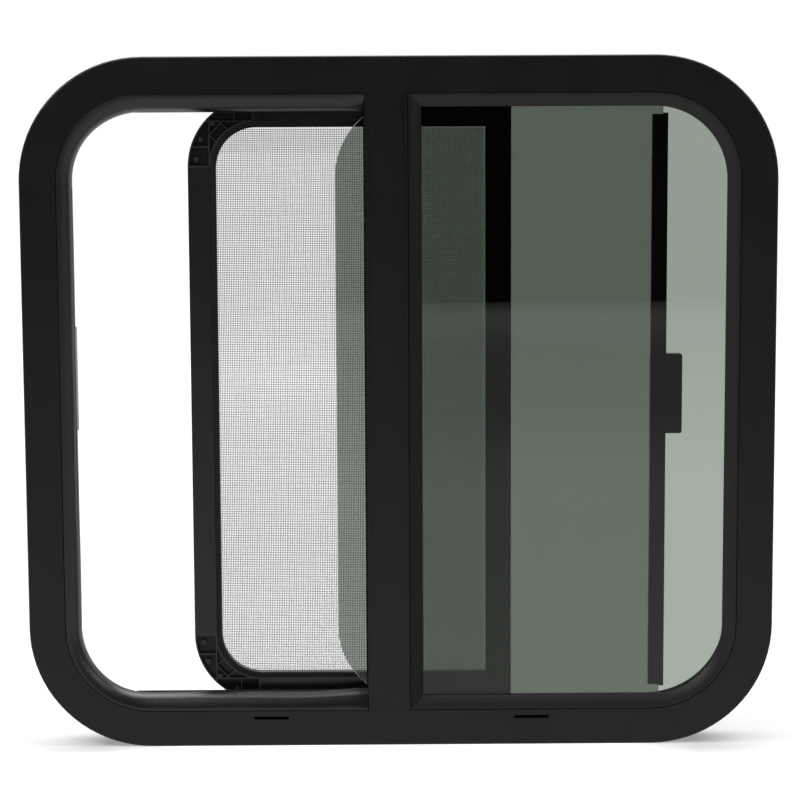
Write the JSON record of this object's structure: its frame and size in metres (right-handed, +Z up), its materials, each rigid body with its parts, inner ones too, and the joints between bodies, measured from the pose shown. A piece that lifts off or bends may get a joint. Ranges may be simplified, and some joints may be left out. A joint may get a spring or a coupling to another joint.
{
  "type": "caravan sliding window",
  "caption": "Wall-mounted sliding window with a bent frame and flange, a fixed tinted pane, a sliding tinted sash and a sliding insect screen.",
  "frame": {"origin": "on the flange's back face, at the middle of its bottom run", "axes": "+X to the right seen from outside, +Y into the vehicle, +Z up"},
  "size_m": [0.655, 0.046, 0.605],
  "materials": {
    "black_powder_coat": "satin black powder coat on aluminium",
    "screen_frame_coat": "matt black paint on aluminium",
    "bare_aluminium": "mill finish",
    "pile": "short black pile",
    "tinted_glass": "tempered, green-grey tint",
    "soft_rubber": "matt",
    "bead_rubber": "satin",
    "seal_rubber": "smooth, slightly glossy",
    "track_plastic": "smooth black",
    "moulded_plastic": "moulded black",
    "insect_mesh": "woven glass-fibre insect mesh"
  },
  "bodies": {
    "root": {"outer_frame": "black_powder_coat", "frame_joint_plate": "bare_aluminium", "mullion": "black_powder_coat", "mullion_pile_seal": "pile", "fixed_glass": "tinted_glass", "glazing_tape": "soft_rubber", "glazing_bead": "bead_rubber", "mullion_bead": "bead_rubber", "bulb_seal": "seal_rubber", "head_guide_strip": "track_plastic", "sill_guide_strip": "track_plastic", "sash_head_track": "track_plastic", "sash_sill_track": "track_plastic", "screen_head_track": "track_plastic", "screen_sill_track": "track_plastic", "sash_glass": "tinted_glass", "sash_stile": "black_powder_coat", "latch_body": "moulded_plastic", "latch_lever": "moulded_plastic", "screen_pull_stile": "screen_frame_coat", "screen_plain_stile": "screen_frame_coat", "screen_head_rail": "screen_frame_coat", "screen_sill_rail": "screen_frame_coat", "screen_corner_upper": "moulded_plastic", "screen_corner_lower": "moulded_plastic", "screen_block_upper": "moulded_plastic", "screen_block_lower": "moulded_plastic", "screen_spline": "soft_rubber", "screen_mesh": "insect_mesh", "screen_pull": "moulded_plastic"}
  },
  "joints": []
}
